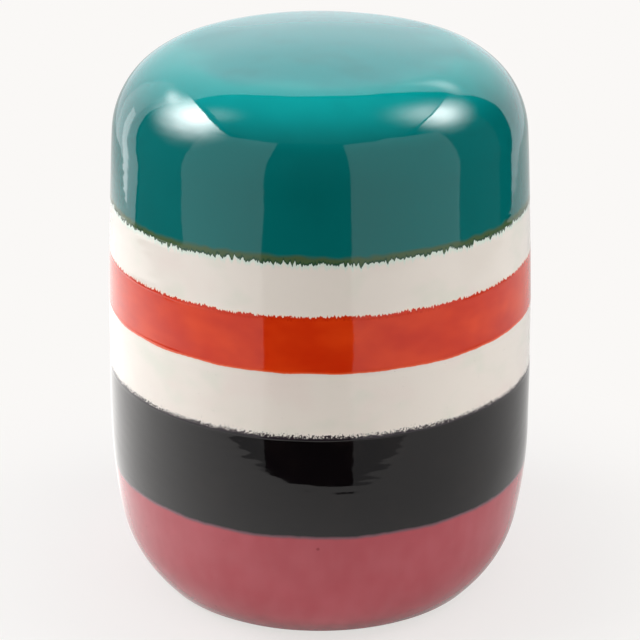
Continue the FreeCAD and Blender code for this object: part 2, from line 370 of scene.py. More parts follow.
def fade_lamp(data, spot):
    """Let the strength fall softly to nothing at the spot's reach."""
    across, up, reach_across, reach_up = spot
    data.use_nodes = True
    tree = Tree(data.node_tree)
    face = tree.node("ShaderNodeNewGeometry", {}, {}, "Parametric")
    shift = (-across / reach_across, -up / reach_up, 0)
    scale = (1 / reach_across, 1 / reach_up, 0)
    sockets = {"Vector": face, "Location": shift, "Scale": scale}
    place = tree.node("ShaderNodeMapping", {}, sockets)
    away = tree.node("ShaderNodeVectorMath", {"operation": "LENGTH"}, {0: place}, "Value")
    fade = 1.0 - tree.step(away, 0.0, 1.0)
    glow = tree.node("ShaderNodeEmission", {}, {"Strength": fade * fade})
    tree.node("ShaderNodeOutputLight", {}, {"Surface": glow})


def hang_panel(name, inner, outer, low, high, brightness):
    """An upright lamp between two points of the floor plan, facing the stool."""
    middle = ((inner[0] + outer[0]) / 2, (inner[1] + outer[1]) / 2, (low + high) / 2)
    facing = (outer[1] - inner[1], inner[0] - outer[0])
    if facing[0] * middle[0] + facing[1] * middle[1] > 0:
        facing = (-facing[0], -facing[1])
    target = (middle[0] + facing[0], middle[1] + facing[1], middle[2])
    return hang_lamp(name, middle, target, math.dist(inner, outer), high - low, brightness)


def from_stool(turn, rise, reach):
    """A place seen from the stool's shoulder: degrees from the front to the right, and up."""
    turn, rise = math.radians(turn), math.radians(rise)
    flat = reach * math.cos(rise)
    return (flat * math.sin(turn), -flat * math.cos(turn), SHOULDER[2] + reach * math.sin(rise))


# %% Hang the lamps
# Each panel's inner and outer end on the floor plan, its top and its brightness.
PANEL_LOW = -0.25
PANELS = {
    "left_panel": ((-0.595, -1.13), (-1.70, -0.46), 1.62, 0.78),
    "right_panel": ((0.36, -1.27), (1.68, -0.40), 1.65, 0.72),
}
PANEL_FOOT_LOW = -0.90
PANEL_FOOT_LIGHT = 0.35
# Each spot's place from the stool, its lamp's size, its brightness and where it lies on the lamp.
SPOTS = {
    "left_bounce": ((-94, 28.5, 1.5), (1.95, 1.0), 24, (0.5, 0.86, 0.52, 1.0)),
    "left_high": ((-90, 60, 1.5), (0.9, 0.5), 2, (0.5, 0.12, 0.5, 0.9)),
    "left_glow": ((-125, 35, 2.2), (1.1, 0.6), 4.5, (0.5, 0.5, 0.5, 0.5)),
    "right_bounce": ((97, 34.5, 1.6), (1.56, 0.8), 17.5, (0.5, 0.92, 0.5, 1.0)),
    "right_high": ((93, 63.5, 1.6), (1.5, 0.8), 6, (0.5, 0.09, 0.5, 0.88)),
    "right_glow": ((146, 41, 2.6), (2.0, 0.6), 2.4, (0.5, 0.5, 0.5, 0.5)),
}
# Two strips behind the stool that brighten its left rim: ends, bottom, top and brightness.
RIM_STRIPS = {
    "left_rim_strip": ((-1.13, 0.92), (-1.25, 0.80), -0.8, 0.62, 1.2),
    "left_rim_glow": ((-0.98, 1.25), (-1.30, 0.80), -1.0, 1.5, 0.35),
}
# Each soft lamp's place, the side of its square, its brightness and its tint.
SOFT_LAMPS = {
    "left_key": (from_stool(-86, 34, 2.0), 1.2, 5.6, (0.95, 1.0, 1.05)),
    "right_key": (from_stool(86, 38, 2.0), 1.0, 5.4, (0.97, 1.0, 1.03)),
    "front_fill": ((-0.3, -2.6, 1.3), 1.6, 1.6, (1.04, 1.0, 0.96)),
}

for name, (inner, outer, high, brightness) in PANELS.items():
    hang_panel(name, inner, outer, PANEL_LOW, high, brightness)
    hang_panel(name + "_foot", inner, outer, PANEL_FOOT_LOW, PANEL_LOW, PANEL_FOOT_LIGHT)
for name, (place, size, brightness, spot) in SPOTS.items():
    lamp = hang_lamp(name, from_stool(*place), SHOULDER, *size, brightness, spot)
    lamp.visible_diffuse = False
for name, strip in RIM_STRIPS.items():
    hang_panel(name, *strip).visible_diffuse = False
for name, (place, side, brightness, tint) in SOFT_LAMPS.items():
    lamp = hang_lamp(name, place, SHOULDER, side, side, brightness)
    lamp.visible_glossy = False
    lamp.data.color = tint
print(len(SPOTS) + len(RIM_STRIPS), "lamps for the gloss,", len(SOFT_LAMPS), "for the light")

# %% [markdown]
# ## The table
# The table is pale and takes a soft shadow. The camera sees it partly as plain pale light, more
# so further out, so that it runs into the backdrop with no line, while the shadow close to the
# stool stays. The gloss sees it as a glow with a painted pool of light, brightest on the left,
# where the stronger light falls, and painted shade round the foot. Its front edge is a little
# hollow, and the dark past that edge is the dark patch at the top of the black glaze.

# %% Lay the table
TABLE_FRONT = -0.485
EDGE_HOLLOW = 0.035
EDGE_KEPT = 0.2
TABLE_BACK = 3.0
TABLE_HALF_WIDTH = 1.05
TABLE_PALE = colour(240, 238, 236)
SHADOW_FROM = 0.20
SHADOW_REACH = 0.44
SHADOW_SHARE = 0.32
# A painted pool of light on the table, brightest on the left, seen only in the gloss.
POOL = (-0.5, 0.25, 0)
POOL_FROM = 0.05
POOL_REACH = 0.95
POOL_LIGHT = 1.9
POOL_EDGE_LIGHT = 0.72
# Painted shade round the foot, seen only in the gloss.
FOOT_SHADE = 0.55
FOOT_SHADE_FROM = 0.13
FOOT_SHADE_REACH = 0.27


def direct_ray(tree):
    """1 for rays that should meet the plain pale table: straight, mirrored, through glass."""
    rays = [
        tree.node("ShaderNodeLightPath", {}, {}, name)
        for name in ("Is Camera Ray", "Is Glossy Ray", "Is Transmission Ray")
    ]
    return rays[0].most(rays[1]).most(rays[2])


def table_material():
    """Matt where the shadow falls, plain light elsewhere, and painted light and shade in the
    gloss.
    """
    material = new_material("pale_table")
    tree = Tree(material.node_tree)
    place = tree.node("ShaderNodeTexCoord", {}, {}, "Object")
    away = tree.node("ShaderNodeVectorMath", {"operation": "LENGTH"}, {0: place}, "Value")
    shadow = SHADOW_SHARE * (1.0 - tree.step(away, SHADOW_FROM, SHADOW_REACH))
    distance = {"operation": "DISTANCE"}
    from_pool = tree.node("ShaderNodeVectorMath", distance, {0: place, 1: POOL}, "Value")
    beyond = tree.step(from_pool, POOL_FROM, POOL_REACH)
    painted_pool = POOL_LIGHT + (POOL_EDGE_LIGHT - POOL_LIGHT) * beyond
    # Painted shade: the mirrored table is darkened near the foot.
    painted_foot_shade = FOOT_SHADE + (1 - FOOT_SHADE) * tree.step(away, FOOT_SHADE_FROM, FOOT_SHADE_REACH)
    mirrored = tree.node("ShaderNodeLightPath", {}, {}, "Is Glossy Ray")
    # The gloss sees painted light and shade: the pool and the shade round the foot.
    light = 1.0 + mirrored * (painted_pool * painted_foot_shade - 1.0)
    matt = tree.node("ShaderNodeBsdfDiffuse", {}, {"Color": TABLE_PALE})
    glow = tree.node("ShaderNodeEmission", {}, {"Color": PALE, "Strength": light})
    mask = direct_ray(tree) * (1.0 - shadow * (1.0 - mirrored))
    top = tree.node("ShaderNodeMixShader", {}, {0: mask, 1: matt, 2: glow})
    tree.node("ShaderNodeOutputMaterial", {}, {"Surface": top})
    return material


def lay_table():
    """A grid whose front edge is pulled back a little on either side of its middle."""
    grid = {"x_subdivisions": 6, "y_subdivisions": 1, "size": 2}
    table = add_primitive("table_top", bpy.ops.mesh.primitive_grid_add, **grid)
    bpy.ops.object.mode_set(mode="EDIT")
    bpy.ops.mesh.select_all(action="SELECT")
    half_depth = (TABLE_BACK - TABLE_FRONT) / 2
    bpy.ops.transform.resize(value=(TABLE_HALF_WIDTH, half_depth, 1))
    bpy.ops.transform.translate(value=(0, TABLE_FRONT + half_depth, 0))
    pick(table, "VERT", lambda p: p.y < 0 and abs(p.x) > EDGE_KEPT)
    bpy.ops.transform.translate(value=(0, EDGE_HOLLOW, 0))
    bpy.ops.object.mode_set(mode="OBJECT")
    table.data.materials.append(table_material())


lay_table()
print("table front edge", -TABLE_FRONT, "m before the stool's axis")

# %% [markdown]
# ## The outline of the stool
# A potter's rib gives the clay its outline, and here five arcs do, each running into the next
# without a corner: a tucked-in foot, the haunch, the slightly bowed wall, the tight shoulder and
# the crowned seat. Height and width come from the loaded model, and the radii are the few sizes
# that shape the curve.

# %% Work out the five arcs
HEIGHT = cad_high[2]
WIDEST = cad_high[0]
WIDEST_AT = 0.136
FOOT_CENTRE_HEIGHT = 0.0775
RADII = {"foot": 0.103, "haunch": 0.430, "wall": 4.0, "shoulder": 0.069, "crown": 0.700}
NAMES = list(RADII)
TINY = 1e-9


def crossing(a, reach_a, b, reach_b):
    """The point at one distance from a and another from b, left of the way from a to b."""
    apart = math.dist(a, b)
    along = (reach_a ** 2 - reach_b ** 2 + apart ** 2) / (2 * apart)
    aside = math.sqrt(reach_a ** 2 - along ** 2)
    unit = ((b[0] - a[0]) / apart, (b[1] - a[1]) / apart)
    return (a[0] + unit[0] * along - unit[1] * aside, a[1] + unit[1] * along + unit[0] * aside)


def arc_centres():
    """Centre of each arc, as a distance from the axis and a height."""
    wall = (WIDEST - RADII["wall"], WIDEST_AT)
    haunch = (WIDEST - RADII["haunch"], WIDEST_AT)
    crown = (0.0, HEIGHT - RADII["crown"])
    drop = WIDEST_AT - FOOT_CENTRE_HEIGHT
    spare = RADII["haunch"] - RADII["foot"]
    foot = (haunch[0] + math.sqrt(spare ** 2 - drop ** 2), FOOT_CENTRE_HEIGHT)
    from_wall = RADII["wall"] - RADII["shoulder"]
    from_crown = RADII["crown"] - RADII["shoulder"]
    shoulder = crossing(wall, from_wall, crown, from_crown)
    return dict(zip(NAMES, (foot, haunch, wall, shoulder, crown)))


CENTRES = arc_centres()


def bearing(start, end):
    """Angle of the way from one arc's centre to another's, where the two arcs touch."""
    a, b = CENTRES[start], CENTRES[end]
    return math.atan2(b[1] - a[1], b[0] - a[0])


ENDS = [
    -math.pi / 2,
    bearing("haunch", "foot"),
    0.0,
    bearing("wall", "shoulder"),
    bearing("crown", "shoulder"),
    math.pi / 2,
]
for name, centre in CENTRES.items():
    print(f"{name}: radius {RADII[name]:.3f}, centre {centre[0]:.4f} out, {centre[1]:.4f} up")


# %% Walk along the outline
def angle_at(name, height):
    """Angle on an arc where it passes a height, held within the arc's own ends."""
    number = NAMES.index(name)
    sine = (height - CENTRES[name][1]) / RADII[name]
    angle = math.asin(max(-1.0, min(1.0, sine)))
    return max(ENDS[number], min(ENDS[number + 1], angle))


def stretches(low, high):
    """Arc, first angle and last angle of each piece of the outline between two heights."""
    found = []
    for name in NAMES:
        first, last = angle_at(name, low), angle_at(name, high)
        if last - first > TINY:
            found.append((name, first, last))
    return found


def outline(low, high, fine, coarse, margin, depth):
    """Points of the outline between two heights, closer together near both ends.

    The depth is a function of the distance walked and the whole distance, and each point lies
    that deep under the glazed surface.
    """
    parts = stretches(low, high)
    whole = sum(RADII[name] * (last - first) for name, first, last in parts)
    walks = [0.0]
    while walks[-1] < whole:
        near_end = min(walks[-1], whole - walks[-1]) < margin
        walks.append(walks[-1] + (fine if near_end else coarse))
    walks[-1] = whole
    points = []
    for walk in walks:
        left = walk
        for name, first, last in parts:
            span = RADII[name] * (last - first)
            if left <= span + TINY:
                break
            left -= span
        angle = first + left / RADII[name]
        reach = RADII[name] - depth(walk, whole)
        centre = CENTRES[name]
        points.append((centre[0] + reach * math.cos(angle), centre[1] + reach * math.sin(angle)))
    return points


# %% [markdown]
# ## Turning a coat
# A coat of glaze goes all round, so it is turned: one cross-section is drawn as a line of
# vertices, each extruded from the last, and the line is spun about the upright axis. The outer
# side has close points, since every reflection glides over it. The inner side lies on the clay.
# Fired glaze is never quite even, so a faint displacement moves the outer side by a fraction of
# a millimetre, and the mirrored edges wander as they do on the real stool.

# %% Draw and spin a cross-section
COLUMNS = 360
MERGE = 1e-6
SMOOTH_UNDER = math.radians(35)
UNEVEN = 0.0007
UNEVEN_SIZE = 0.055


def draw_section(name, points, closed):
    """A line of vertices in the plane of X and Z, extruded point by point."""
    out, up = points[0]
    section = add_primitive(name, bpy.ops.mesh.primitive_plane_add, size=0.001)
    bpy.ops.object.mode_set(mode="EDIT")
    bpy.ops.mesh.select_all(action="SELECT")
    bpy.ops.mesh.merge(type="CENTER")
    bpy.ops.mesh.select_mode(type="VERT")
    bpy.ops.mesh.select_all(action="SELECT")
    bpy.ops.transform.translate(value=(out, 0, up))
    for (a, b), (c, d) in zip(points, points[1:]):
        move = {"value": (c - a, 0, d - b)}
        bpy.ops.mesh.extrude_vertices_move(TRANSFORM_OT_translate=move)
    if closed:
        ends = (points[0], points[-1])
        pick(section, "VERT", lambda p: any(math.dist((p.x, p.z), e) < MERGE for e in ends))
        bpy.ops.mesh.edge_face_add()
    bpy.ops.object.mode_set(mode="OBJECT")
    return section


def spin_section(section, columns):
    """Spin the section about the axis, close the seam and the poles, and turn it outwards."""
    bpy.ops.object.mode_set(mode="EDIT")
    bpy.ops.mesh.select_all(action="SELECT")
    bpy.ops.mesh.spin(steps=columns, angle=2 * math.pi, center=(0, 0, 0), axis=(0, 0, 1))
    bpy.ops.mesh.select_all(action="SELECT")
    bpy.ops.mesh.remove_doubles(threshold=MERGE)
    bpy.ops.mesh.normals_make_consistent(inside=False)
    bpy.ops.object.mode_set(mode="OBJECT")
    bpy.ops.object.shade_smooth_by_angle(angle=SMOOTH_UNDER)


unevenness = bpy.data.textures.new("unevenness", "CLOUDS")
unevenness.cloud_type = "COLOR"
unevenness.noise_basis = "IMPROVED_PERLIN"
unevenness.noise_scale = UNEVEN_SIZE
unevenness.noise_depth = 0


def make_uneven(piece):
    """Move the outer side a little, the same way wherever two coats meet."""
    displace = piece.modifiers.new("unevenness", "DISPLACE")
    displace.texture = unevenness
    displace.texture_coords = "LOCAL"
    displace.direction = "RGB_TO_XYZ"
    displace.space = "LOCAL"
    displace.strength = UNEVEN
    displace.mid_level = 0.5
    displace.vertex_group = "outside"
    bpy.ops.object.modifier_apply(modifier=displace.name)


# %% [markdown]
# ## The six coats
# Each coat replaces its plain stand-in of the model. It keeps the stand-in's heights and lies on
# the same clay. Away from their edges the white coats lie a hair under the coloured ones, because
# the coloured glazes are laid on a little thicker. The lowest coat ends in a rounded bead above
# the bare foot, where the potter wiped the glaze off so that it wouldn't stick to the kiln shelf.

# %% Turn the coats
FINE = 0.0010
COARSE = 0.0026
MARGIN = 0.006
INNER_STEP = 0.012
WHITE_DEPTH = 0.0002
WHITE_RAMP = 0.004
BEAD = 0.0006
BEAD_PARTS = 3
POLE_WITHIN = 0.001
COATS = {
    "teal_glaze": "teal_glaze",
    "upper_white_glaze": "white_glaze",
    "orange_glaze": "orange_glaze",
    "lower_white_glaze": "white_glaze",
    "black_glaze": "black_glaze",
    "rose_glaze": "rose_glaze",
}
low_edge = {node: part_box(node)[0][2] for node in COATS}
high_edge = {node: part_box(node)[1][2] for node in COATS}
seat_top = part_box("seat_dome")[1][2]
GLAZE = HEIGHT - seat_top
print(f"glaze {GLAZE * 1000:.2f} mm thick")


def no_depth(walk, whole):
    """The glazed surface itself."""
    return 0.0


def white_depth(walk, whole):
    """Nothing at the edges, and the white's full depth a few millimetres in."""
    share = min(1.0, min(walk, whole - walk) / WHITE_RAMP)
    return WHITE_DEPTH * share * share * (3 - 2 * share)


def glaze_depth(walk, whole):
    """The clay on which the glaze lies."""
    return GLAZE


def bead_points(low):
    """The rounded lower end of the lowest coat, from the clay outwards."""
    out = outline(low + BEAD, low + MARGIN, FINE, FINE, MARGIN, no_depth)[0][0]
    points = []
    for part in range(BEAD_PARTS + 1):
        angle = math.pi / 2 * (1 - part / BEAD_PARTS)
        points.append((out - BEAD * math.sin(angle), low + BEAD - BEAD * math.cos(angle)))
    return points


def turn_coat(node, slot):
    """Turn one coat of glaze in the place of its stand-in."""
    low, high = low_edge[node], high_edge[node]
    depth = white_depth if slot == "white_glaze" else no_depth
    if node == "rose_glaze":
        outer = bead_points(low)[:-1] + outline(low + BEAD, high, FINE, COARSE, MARGIN, depth)
    else:
        outer = outline(low, high, FINE, COARSE, MARGIN, depth)
    inner = outline(low, high, INNER_STEP, INNER_STEP, 0, glaze_depth)
    inner.reverse()
    to_pole = high > HEIGHT - POLE_WITHIN
    section = draw_section(node + "_coat", outer + inner, not to_pole)
    group = section.vertex_groups.new(name="outside")
    group.add(list(range(len(outer))), 1.0, "REPLACE")
    spin_section(section, COLUMNS)
    make_uneven(section)
    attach(section, "root")
    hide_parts(node)
    return section


coats = {node: turn_coat(node, slot) for node, slot in COATS.items()}
for node, coat in coats.items():
    coat.data.calc_loop_triangles()
    print(f"{coat.name}: {len(coat.data.loop_triangles)} triangles")

# %% [markdown]
# ## The bare clay base
# Turned upside down, the stool shows its unglazed underside. The potter trimmed a foot ring round
# a shallow recess, and cut a hole through the floor, so that the air inside could get out in the
# kiln. The cross-section is a closed loop of a few corners, each with its own rounding, and the
# curved clay wall between them. Throwing leaves fine rings wherever no glaze hides them, so the
# inner wall swells in and out by a fraction of a millimetre.

# %% Turn the base
BASE_COLUMNS = 240
CLAY_WALL = 0.009
RING_INSIDE = 0.109
RECESS = 0.005
FLOOR = 0.010
VENT = 0.042
CAVITY_CORNER = 0.012
RING_SWELL = 0.0003
RING_SPACING = 0.0065
JOINT_ABOVE_GLAZE = 0.093
FOOT_ROUND = 0.002
FOOT_CLEAR = 0.003
VENT_ROUND = 0.0035
RECESS_ROUND = 0.0025
ROUND_PARTS = 6
GROOVE = 0.00012
GROOVE_STEP = 0.0011
GROOVE_POINTS = 3.3
GROOVE_MARGIN = 0.006
base_low, base_high = (corner[2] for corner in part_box("base_ring"))
outer_joint = low_edge["rose_glaze"] + JOINT_ABOVE_GLAZE
under_floor = base_low + RECESS
floor_top = under_floor + FLOOR


def cavity_depth(walk, whole):
    """The clay's inner side, with its throwing rings."""
    return GLAZE + CLAY_WALL + RING_SWELL * math.sin(2 * math.pi * walk / RING_SPACING)


def rounded(corners, parts):
    """Replace each corner (out, up, rounding) of a path with a small curve of short steps."""
    path = []
    for number, (out, up, size) in enumerate(corners):
        if size == 0:
            path.append((out, up))
            continue
        ends = []
        for other in (corners[number - 1], corners[(number + 1) % len(corners)]):
            share = size / math.dist((out, up), other[:2])
            ends.append((out + (other[0] - out) * share, up + (other[1] - up) * share))
        for step in range(parts + 1):
            t = step / parts
            weights = ((1 - t) ** 2, 2 * t * (1 - t), t ** 2)
            three = (ends[0], (out, up), ends[1])
            path.append(tuple(sum(w * p[axis] for w, p in zip(weights, three)) for axis in (0, 1)))
    return path


def base_corners():
    """The base's section: up the outer wall, down the cavity, and round the floor and foot."""
    outer = outline(base_low, outer_joint, FINE, COARSE * 2, MARGIN, glaze_depth)
    cavity = outline(floor_top, base_high, COARSE, COARSE / 2, 0, cavity_depth)
    cavity.reverse()
    drop = FOOT_CENTRE_HEIGHT - base_low
    foot_out = CENTRES["foot"][0] + math.sqrt((RADII["foot"] - GLAZE) ** 2 - drop ** 2)
    corners = [(foot_out, base_low, FOOT_ROUND)]
    corners += [(*point, 0) for point in outer if point[1] > base_low + FOOT_CLEAR]
    corners += [(*point, 0) for point in cavity if point[1] > floor_top + CAVITY_CORNER]
    corners.append((cavity[-1][0], floor_top, CAVITY_CORNER))
    corners.append((VENT, floor_top, VENT_ROUND))
    corners.append((VENT, under_floor, VENT_ROUND))
    corners += trimmed_floor(VENT + GROOVE_MARGIN, RING_INSIDE - GROOVE_MARGIN)
    corners.append((RING_INSIDE, under_floor, RECESS_ROUND))
    corners.append((RING_INSIDE, base_low, FOOT_ROUND))
    return corners


def trimmed_floor(first, last):
    """The recess between vent and foot ring, grooved by the trimming tool."""
    steps = int((last - first) / GROOVE_STEP)
    points = []
    for step in range(steps + 1):
        out = first + (last - first) * step / steps
        wave = math.sin(step * 2 * math.pi / GROOVE_POINTS)
        points.append((out, under_floor + GROOVE * wave, 0))
    return points


def turn_base():
    """Turn the clay base in the place of its stand-in."""
    section = draw_section("clay_base", rounded(base_corners(), ROUND_PARTS), True)
    spin_section(section, BASE_COLUMNS)
    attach(section, "root")
    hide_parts("base_ring")
    return section


base = turn_base()
base.data.calc_loop_triangles()
print("base:", len(base.data.loop_triangles), "triangles, vent", VENT * 2000, "mm across")

# %% [markdown]
# ## The felt pads
# Four discs of felt are stuck under the foot ring, so that the stool doesn't scratch a floor.
# Each is cut from thick felt, so its edge is square but soft. One disc is turned like the coats
# and roughened by a fine displacement, and the other three are copies of it.

# %% Turn one pad and copy it
PADS = ("floor_pad_1", "floor_pad_2", "floor_pad_3", "floor_pad_4")
PAD_COLUMNS = 72
PAD_EDGE = 0.0005
PAD_STEP = 0.0007
PAD_SIDE_PARTS = 4
PAD_ROUND_PARTS = 3
FUZZ = 0.00022
FUZZ_SIZE = 0.0012

fuzz = bpy.data.textures.new("felt_fuzz", "CLOUDS")
fuzz.noise_scale = FUZZ_SIZE
fuzz.noise_depth = 1


def pad_section():
    """Half a pad's outline, from its underside on the axis to its top."""
    low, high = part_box(PADS[0])
    radius, thick = (high[0] - low[0]) / 2, high[2] - low[2]
    bottom, top = 0.5 * FUZZ, thick - 0.5 * FUZZ
    steps = int(radius / PAD_STEP)
    flat = [radius * step / steps for step in range(steps)]
    corners = [(out, bottom, 0) for out in flat] + [(radius, bottom, PAD_EDGE)]
    side = [bottom + (top - bottom) * part / PAD_SIDE_PARTS for part in range(1, PAD_SIDE_PARTS)]
    corners += [(radius, up, 0) for up in side]
    corners += [(radius, top, PAD_EDGE)] + [(out, top, 0) for out in reversed(flat)]
    return rounded(corners, PAD_ROUND_PARTS)


def cut_pad():
    """Turn one pad on the axis and roughen it."""
    pad = draw_section(PADS[0] + "_felt", pad_section(), False)
    spin_section(pad, PAD_COLUMNS)
    displace = pad.modifiers.new("fuzz", "DISPLACE")
    displace.texture = fuzz
    displace.texture_coords = "LOCAL"
    displace.strength = FUZZ
    displace.mid_level = 0.5
    bpy.ops.object.modifier_apply(modifier=displace.name)
    return pad


def lay_pad(pad, node):
    """Name a pad and move its mesh under the foot ring, onto the place of its node."""
    low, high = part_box(node)
    pad.name = node + "_felt"
    pad.data.name = pad.name
    bpy.ops.object.select_all(action="DESELECT")
    pad.select_set(True)
    bpy.context.view_layer.objects.active = pad
    bpy.ops.object.mode_set(mode="EDIT")
    bpy.ops.mesh.select_all(action="SELECT")
    place = ((low[0] + high[0]) / 2, (low[1] + high[1]) / 2, low[2])
    bpy.ops.transform.translate(value=place)
    bpy.ops.object.mode_set(mode="OBJECT")
    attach(pad, "root")
    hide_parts(node)


first_pad = cut_pad()
pads = [first_pad]
for _ in PADS[1:]:
    pad = first_pad.copy()
    pad.data = first_pad.data.copy()
    bpy.context.scene.collection.objects.link(pad)
    pads.append(pad)
for pad, node in zip(pads, PADS):
    lay_pad(pad, node)
print("pads:", ", ".join(pad.name for pad in pads))

# %% [markdown]
# ## Glaze as a finish
# Glaze is a thin sheet of coloured glass. Its colour lies in the base colour and its shine is the
# plain mirror of glass, so the shader is nearly smooth, with a refractive index of 1.5 and no
# metal. All the patterns read the place on the object, so they run on unbroken from one coat to
# the next. `Finish` adds the place, the height in millimetres and some noise to a tree.


# %% A finish with its place, height and noise
GLASS_IOR = 1.5


class Finish(Tree):
    """The node tree of one material, with patterns that follow the object."""

    def __init__(self, name):
        self.material = new_material(name)
        super().__init__(self.material.node_tree)
        self.place = self.node("ShaderNodeTexCoord", {}, {}, "Object")
        self.height = self.node("ShaderNodeSeparateXYZ", {}, {"Vector": self.place}, "Z") * 1000

    def noise(self, per_metre, detail=0.0, upright=1.0):
        """Noise about zero with so many blotches to the metre; upright above 1 draws them tall."""
        scale = (per_metre, per_metre, per_metre / upright)
        place = self.node("ShaderNodeMapping", {}, {"Vector": self.place, "Scale": scale})
        sockets = {"Vector": place, "Scale": 1.0, "Detail": detail}
        return self.node("ShaderNodeTexNoise", {}, sockets, "Fac") - 0.5

    def cells(self, per_metre, upright=1.0):
        """Distance to the nearest of many scattered points, in cells; it makes pointed shapes."""
        scale = (per_metre, per_metre, per_metre / upright)
        place = self.node("ShaderNodeMapping", {}, {"Vector": self.place, "Scale": scale})
        return self.node("ShaderNodeTexVoronoi", {}, {"Vector": place, "Scale": 1.0}, "Distance")

    def bump(self, relief_mm):
        """A normal from a relief in millimetres."""
        sockets = {"Height": relief_mm, "Distance": 0.001, "Strength": 1.0}
        return self.node("ShaderNodeBump", {}, sockets)

    def cover(self, **sockets):
        """End the tree in a Principled shader with these sockets."""
        named = {name.replace("_", " "): value for name, value in sockets.items()}
        shader = self.node("ShaderNodeBsdfPrincipled", {}, named)
        self.node("ShaderNodeOutputMaterial", {}, {"Surface": shader})
        return self.material


# %% [markdown]
# ## Where one glaze meets the next
# No edge here is a clean line. The teal runs down into the white in dark green, furry fingers
# with an olive hem and a breath of mint below them. The orange starts in fine saw teeth and ends
# nearly clean. The black was sprayed against the white, so its top edge breaks up into dots. The
# black and the rose melt together softly. Each edge is one function of height and noise, and
# both neighbours use it, so the edge crosses from coat to coat unbroken. Heights and distances
# from an edge are in millimetres.

# %% Heights of the edges
TEAL_EDGE = low_edge["teal_glaze"] * 1000
ORANGE_TOP = high_edge["orange_glaze"] * 1000
ORANGE_BOTTOM = low_edge["orange_glaze"] * 1000
BLACK_TOP = high_edge["black_glaze"] * 1000
BLACK_BOTTOM = low_edge["black_glaze"] * 1000
print("edges (mm):", [round(z, 1) for z in (TEAL_EDGE, ORANGE_TOP, ORANGE_BOTTOM, BLACK_TOP)])

# %% Bodies of the five glazes
TEAL_DEEP = (0.001, 0.142, 0.138, 1)
# Lighter teals for the shoulder and seat: partly thin glaze, partly painted light on the upward
# top.
TEAL_THIN_PAINTED_LIGHT = (0.002, 0.350, 0.343, 1)
TEAL_SEAT_PAINTED_LIGHT = (0.003, 0.280, 0.284, 1)
TEAL_DARK = (0.001, 0.095, 0.090, 1)
WHITE = (0.87, 0.795, 0.715, 1)
WHITE_ROSY = (0.86, 0.755, 0.685, 1)
WHITE_GREEN = (0.81, 0.775, 0.680, 1)
ORANGE = (0.77, 0.053, 0.006, 1)
ORANGE_RED = (0.63, 0.026, 0.003, 1)
BLACK = (0.0035, 0.0025, 0.003, 1)
BLACK_BROWN = (0.007, 0.005, 0.005, 1)
ROSE = (0.41, 0.055, 0.071, 1)
ROSE_PALE = (0.45, 0.080, 0.098, 1)
# Dark rose for the pinholes, and for the band by the foot, which is partly painted shade.
ROSE_DARK_AND_PAINTED_SHADE = (0.28, 0.028, 0.038, 1)


def teal_body(f):
    """Deep on the wall, thin where it ran off the shoulder, less so above; the top has painted
    light too.
    """
    clouds = f.noise(11, 2.0) + 0.5 * f.noise(38, 1.0, 3.0)
    level = f.height + clouds * 10
    # Over the shoulder and on the seat the teal is lighter: partly thin glaze, partly painted
    # light.
    base = f.mix(f.step(level, 414, 452), TEAL_DEEP, TEAL_THIN_PAINTED_LIGHT)
    base = f.mix(f.step(level, 449, 455), base, TEAL_SEAT_PAINTED_LIGHT)
    return f.mix(f.step(clouds, 0.02, 0.45) * 0.35, base, TEAL_DARK)


def white_body(f):
    """A warm white with hardly seen rosy and greenish clouds."""
    base = f.mix(f.step(f.noise(17, 2.0), 0.0, 0.22), WHITE, WHITE_ROSY)
    return f.mix(f.step(f.noise(23, 2.0, 0.7), 0.02, 0.25), base, WHITE_GREEN)


def orange_body(f):
    """Two reds in soft clouds."""
    clouds = f.noise(26, 2.0, 0.6)
    return f.mix(f.step(clouds, -0.3, 0.3), ORANGE, ORANGE_RED)


def black_body(f):
    """Nearly black, with faint brown clouds."""
    return f.mix(f.step(f.noise(30, 2.0), 0.0, 0.3), BLACK, BLACK_BROWN)


def rose_body(f):
    """Brushed on: streaks, clouds, a few pinholes, and a darker hem above the foot, partly painted
    shade.
    """
    clouds = f.noise(24, 2.0) + 0.6 * f.noise(70, 1.0, 2.5)
    base = f.mix(f.step(clouds, -0.35, 0.35), ROSE, ROSE_PALE)
    # A darker band towards the foot: partly the glaze's hem, partly painted shade near the table.
    hem = 1.0 - f.step(f.height + clouds * 10, 8, 26)
    base = f.mix(hem * 0.8, base, ROSE_DARK_AND_PAINTED_SHADE)
    cells = f.node("ShaderNodeTexVoronoi", {}, {"Vector": f.place, "Scale": 34.0}, "Distance")
    return f.mix(1.0 - f.step(cells, 0.03, 0.06), base, ROSE_DARK_AND_PAINTED_SHADE)


# %% Edges between the glazes
FINGER_GREEN = (0.018, 0.070, 0.036, 1)
OLIVE = (0.072, 0.120, 0.050, 1)
MINT = (0.70, 0.82, 0.72, 1)
CREAM = (0.90, 0.80, 0.66, 1)
PINK = (0.80, 0.36, 0.27, 1)
BLUSH = (0.80, 0.66, 0.60, 1)
ORANGE_LINE = (0.85, 0.120, 0.030, 1)
INK = (0.030, 0.022, 0.028, 1)
DUSK = (0.17, 0.075, 0.095, 1)


def teal_to_white(f, teal, white):
    """Pointed fingers of dark green with an olive hem above and a mint breath below."""
    wander = f.height - TEAL_EDGE + 3.5 * f.noise(22) + 2 * f.noise(80)
    long = 5 * (0.42 - f.cells(330, 8.0)) * (1.0 + 2.2 * f.noise(75))
    rise = wander + long + 2.6 * (0.4 - f.cells(760, 4.0))
    below = f.mix(f.step(rise, -4.5, -0.3) * 0.85, white, MINT)
    hem = f.mix(f.step(rise + 2 * f.noise(260), 0.6, 2.6), FINGER_GREEN, OLIVE)
    above = f.mix(f.step(wander + 3 * f.noise(120), 4.0, 8.5), hem, teal)
    return f.mix(f.step(rise, -0.25, 0.35), below, above)


